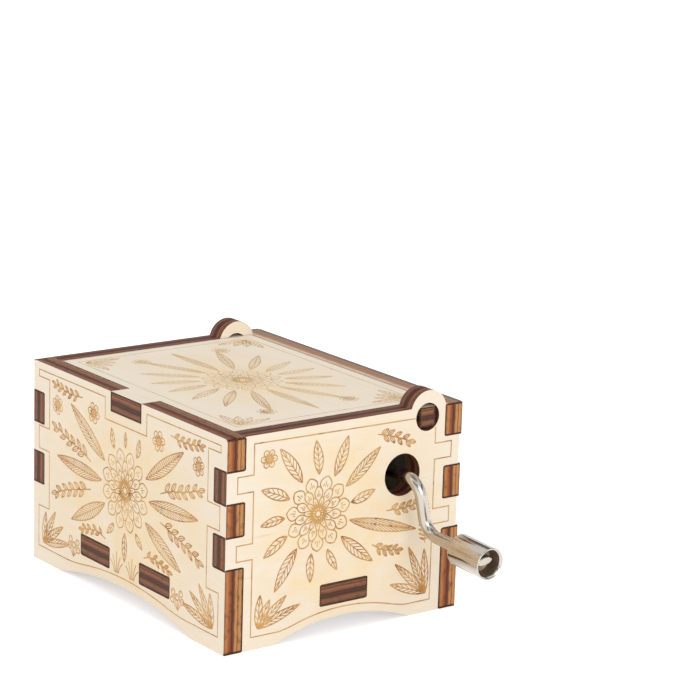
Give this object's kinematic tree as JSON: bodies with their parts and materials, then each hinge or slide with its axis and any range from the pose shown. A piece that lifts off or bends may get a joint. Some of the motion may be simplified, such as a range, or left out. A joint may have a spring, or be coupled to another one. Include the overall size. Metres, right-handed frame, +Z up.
{
  "type": "hand-cranked music box",
  "caption": "Small finger-jointed plywood music box with a pivoting lid and a bent-wire hand crank that turns a pinned cylinder against a steel comb through a worm.",
  "frame": {"origin": "middle of the case's footprint, on the surface it stands on", "axes": "+X out of the crank side, +Y towards the lid's pivots at the back, +Z up"},
  "size_m": [0.0865, 0.0506, 0.0414],
  "materials": {
    "birch_ply": "unfinished birch faces with laser-burnt dark brown edges",
    "nickel_wire": "bright nickel plate",
    "nickel_knob": "bright nickel plate",
    "cast_zinc": "as-cast satin",
    "comb_steel": "ground, lightly brushed",
    "screw_steel": "zinc-plated",
    "brass": "machined satin",
    "cylinder_brass": "polished",
    "arbor_steel": "turned",
    "pin_steel": "drawn steel wire",
    "resin": "dark cast resin",
    "lead": "dull lead"
  },
  "bodies": {
    "case": {"front_panel": "birch_ply", "back_panel": "birch_ply", "left_side_panel": "birch_ply", "right_side_panel": "birch_ply", "floor_panel": "birch_ply", "bedplate": "cast_zinc", "movement_screws": "screw_steel", "comb": "comb_steel", "comb_screws": "screw_steel", "tuning_weights": "lead"},
    "lid": {"lid_panel": "birch_ply"},
    "crank": {"crank_rod": "nickel_wire", "worm": "brass", "crank_ring": "arbor_steel"},
    "knob": {"crank_knob": "nickel_knob"},
    "cylinder": {"cylinder_drum": "cylinder_brass", "cylinder_pins": "pin_steel", "cylinder_core": "resin", "cylinder_arbor": "arbor_steel", "spacer_sleeve": "brass", "worm_wheel": "brass"}
  },
  "joints": [
    {"name": "lid_hinge", "type": "hinge", "parent": "case", "child": "lid", "pos_m": [0, 0.0174, 0.03655], "axis": [-1, 0, 0], "range_deg": [0, 128]},
    {"name": "crank_turn", "type": "hinge", "parent": "case", "child": "crank", "pos_m": [0.032, 0.01215, 0.0267], "axis": [1, 0, 0], "continuous": true},
    {"name": "cylinder_turn", "type": "hinge", "parent": "case", "child": "cylinder", "pos_m": [0.009, 0, 0.0191], "axis": [0, 1, 0], "continuous": true},
    {"name": "knob_spin", "type": "hinge", "parent": "crank", "child": "knob", "pos_m": [0.04569, 0.01431, 0.01652], "axis": [0.9983, 0.012, -0.0563], "continuous": true}
  ],
  "couplings": [
    {"joint": "cylinder_turn", "follows": "crank_turn", "ratio": -0.05}
  ]
}
